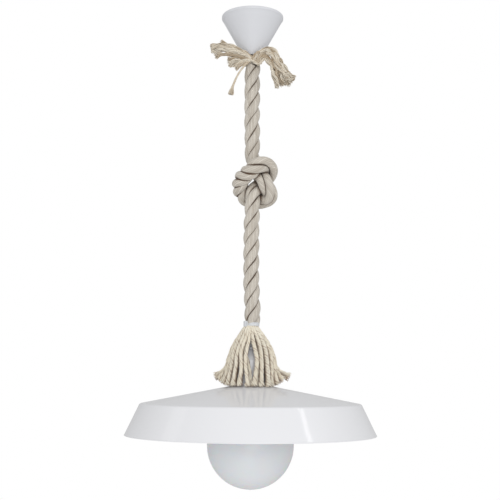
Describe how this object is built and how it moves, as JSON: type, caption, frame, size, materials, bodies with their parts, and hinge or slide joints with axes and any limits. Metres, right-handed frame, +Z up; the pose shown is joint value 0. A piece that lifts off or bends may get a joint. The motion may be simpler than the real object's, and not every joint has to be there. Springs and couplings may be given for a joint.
{
  "type": "pendant lamp",
  "caption": "Hanging lamp with a white ceiling cup, a thick knotted cotton rope ending in a tassel, a wide white dish shade and a large opal globe bulb.",
  "frame": {"origin": "middle of the two ceiling screw slots, in the ceiling plane, on the rope's axis", "axes": "+Z up into the ceiling, +X to the viewer's right, -Y towards the viewer; the lamp hangs along -Z"},
  "size_m": [0.348, 0.348, 0.6775],
  "materials": {
    "zinc_steel": "satin",
    "white_nylon": "satin",
    "brass": "satin",
    "white_pvc": "satin",
    "core_pvc": "satin",
    "cotton_rope": "matte",
    "tie_yarn": "matte",
    "tassel_cotton": "matte",
    "cup_plastic": "satin",
    "holder_plastic": "gloss",
    "steatite": "satin",
    "shade_enamel": "gloss",
    "solder": "satin",
    "black_glass": "gloss",
    "nickel_brass": "satin",
    "collar_plastic": "satin",
    "opal_glass": "gloss",
    "aluminium": "satin"
  },
  "bodies": {
    "ceiling_mount": {"ceiling_bracket": "zinc_steel", "ceiling_hook": "zinc_steel", "hook_nut": "zinc_steel", "rope_clamp": "zinc_steel", "clamp_screw": "zinc_steel", "terminal_block": "white_nylon", "terminal_inserts": "brass", "terminal_screws": "zinc_steel", "flex_top": "white_pvc", "flex_top_cores": "core_pvc", "rope_top": "cotton_rope"},
    "cup": {"ceiling_cup": "cup_plastic", "tie_band": "tie_yarn", "tie_hank_left": "tie_yarn", "tie_fan_left": "tie_yarn", "tie_hank_right": "tie_yarn", "tie_tail": "tie_yarn"},
    "rope_bend": {"rope_neck": "cotton_rope"},
    "pendant": {"rope_hanging": "cotton_rope", "cable_tie": "white_nylon", "tassel": "tassel_cotton", "flex_bottom": "white_pvc", "cord_grip": "holder_plastic", "grip_screw": "zinc_steel", "holder_cap": "holder_plastic", "holder_skirt": "holder_plastic", "holder_insert": "steatite", "screw_shell": "brass", "centre_contact": "brass", "side_contact": "brass", "holder_terminals": "zinc_steel", "shade": "shade_enamel"},
    "ring_lift": {"ring_washer": "holder_plastic"},
    "ring": {"shade_ring": "holder_plastic"},
    "bulb_lift": {"bulb_tip": "solder"},
    "bulb": {"bulb_insulator": "black_glass", "bulb_cap": "nickel_brass", "bulb_collar": "collar_plastic", "bulb_globe": "opal_glass", "bulb_led_post": "aluminium"}
  },
  "joints": [
    {"name": "cup_slide", "type": "slide", "parent": "ceiling_mount", "child": "cup", "axis": [0, 0, -1], "range_m": [0, 0.085]},
    {"name": "swing_front", "type": "hinge", "parent": "ceiling_mount", "child": "rope_bend", "pos_m": [0, 0, -0.07], "axis": [1, 0, 0], "range_deg": [-12, 12], "deforming": ["rope_hanging"]},
    {"name": "swing_side", "type": "hinge", "parent": "rope_bend", "child": "pendant", "pos_m": [0, 0, -0.07], "axis": [0, 1, 0], "range_deg": [-12, 12]},
    {"name": "ring_turn", "type": "hinge", "parent": "ring_lift", "child": "ring", "pos_m": [0, 0, -0.539], "axis": [0, 0, -1], "range_deg": [0, 1080]},
    {"name": "ring_drop", "type": "slide", "parent": "pendant", "child": "ring_lift", "axis": [0, 0, -1], "range_m": [0, 0.0091]},
    {"name": "bulb_turn", "type": "hinge", "parent": "bulb_lift", "child": "bulb", "pos_m": [0, 0, -0.5167], "axis": [0, 0, -1], "range_deg": [0, 1800]},
    {"name": "bulb_drop", "type": "slide", "parent": "pendant", "child": "bulb_lift", "axis": [0, 0, -1], "range_m": [0, 0.0183]}
  ],
  "couplings": [
    {"joint": "ring_drop", "follows": "ring_turn", "m_per_rad": 0.00047746},
    {"joint": "bulb_drop", "follows": "bulb_turn", "m_per_rad": 0.00057773}
  ]
}
